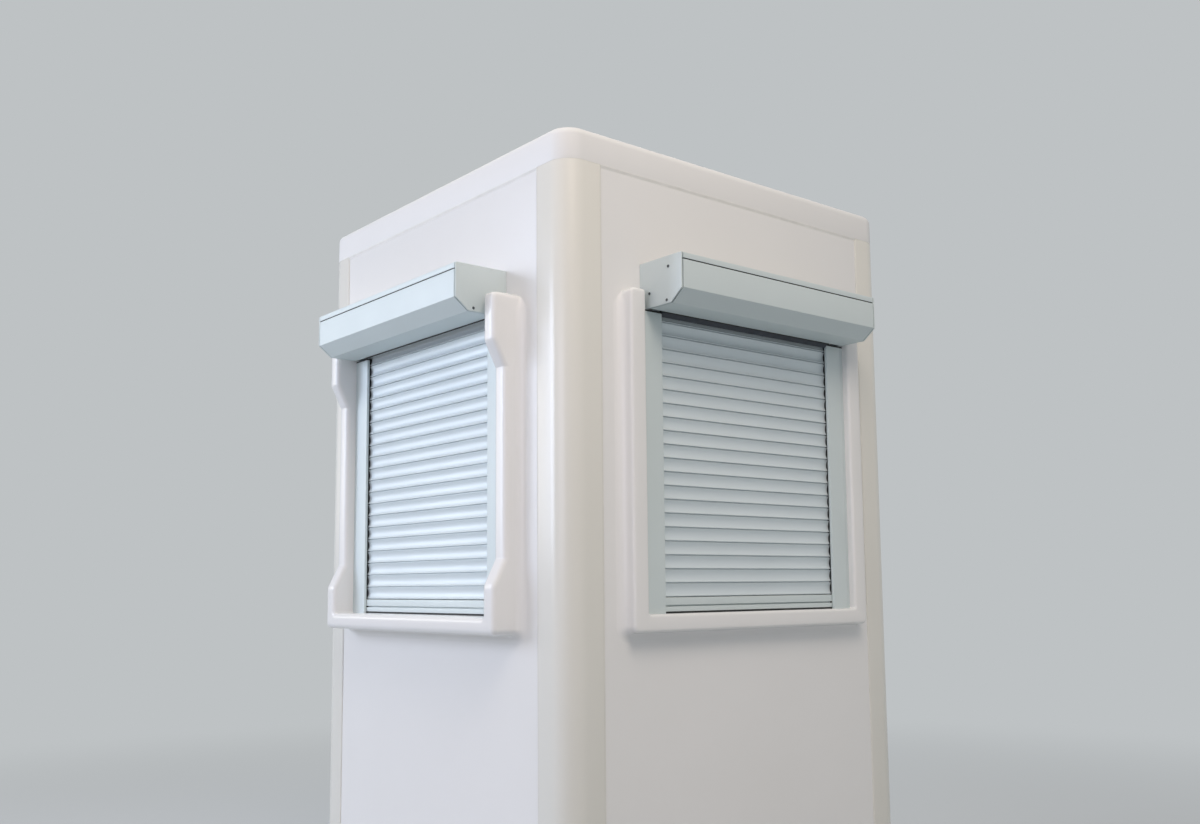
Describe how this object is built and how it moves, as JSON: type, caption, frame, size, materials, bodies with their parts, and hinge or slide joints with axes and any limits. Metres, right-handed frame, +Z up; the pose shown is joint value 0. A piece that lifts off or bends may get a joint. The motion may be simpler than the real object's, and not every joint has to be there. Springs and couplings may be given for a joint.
{
  "type": "security guard booth",
  "caption": "Square white moulded guard booth with rounded corners, a flat rimmed roof, closed roller-shutter windows in moulded surrounds and a back door.",
  "frame": {"origin": "middle of the underside, at ground level, on the middle base beam", "axes": "+Z up, -Y towards the front window, -X towards the stepped window on the left side"},
  "size_m": [1.625, 1.527, 2.3],
  "materials": {
    "gelcoat": "glossy white moulded fibreglass",
    "shutter_coating": "satin pale grey powder coat on aluminium",
    "base_steel": "matt dark grey paint on steel",
    "floor_covering": "matt grey floor covering on board",
    "door_aluminium": "satin anodised",
    "fittings_steel": "brushed"
  },
  "bodies": {
    "root": {"back_left_post": "gelcoat", "back_right_post": "gelcoat", "back_wall": "gelcoat", "base_beam_back": "base_steel", "base_beam_front": "base_steel", "base_beam_left": "base_steel", "base_beam_middle": "base_steel", "base_beam_right": "base_steel", "door_frame": "door_aluminium", "door_handle": "fittings_steel", "door_leaf": "gelcoat", "floor": "floor_covering", "front_bottom_bar": "shutter_coating", "front_box_cap_left": "shutter_coating", "front_box_cap_right": "shutter_coating", "front_curtain": "shutter_coating", "front_left_post": "gelcoat", "front_rail_left": "shutter_coating", "front_rail_right": "shutter_coating", "front_right_post": "gelcoat", "front_shutter_box": "shutter_coating", "front_wall": "gelcoat", "front_window_surround": "gelcoat", "hinge_lower": "fittings_steel", "hinge_upper": "fittings_steel", "left_bottom_bar": "shutter_coating", "left_box_cap_left": "shutter_coating", "left_box_cap_right": "shutter_coating", "left_curtain": "shutter_coating", "left_rail_left": "shutter_coating", "left_rail_right": "shutter_coating", "left_shutter_box": "shutter_coating", "left_wall": "gelcoat", "left_window_surround": "gelcoat", "right_bottom_bar": "shutter_coating", "right_box_cap_left": "shutter_coating", "right_box_cap_right": "shutter_coating", "right_curtain": "shutter_coating", "right_rail_left": "shutter_coating", "right_rail_right": "shutter_coating", "right_shutter_box": "shutter_coating", "right_wall": "gelcoat", "right_window_surround": "gelcoat", "roof": "gelcoat", "threshold": "door_aluminium"}
  },
  "joints": []
}
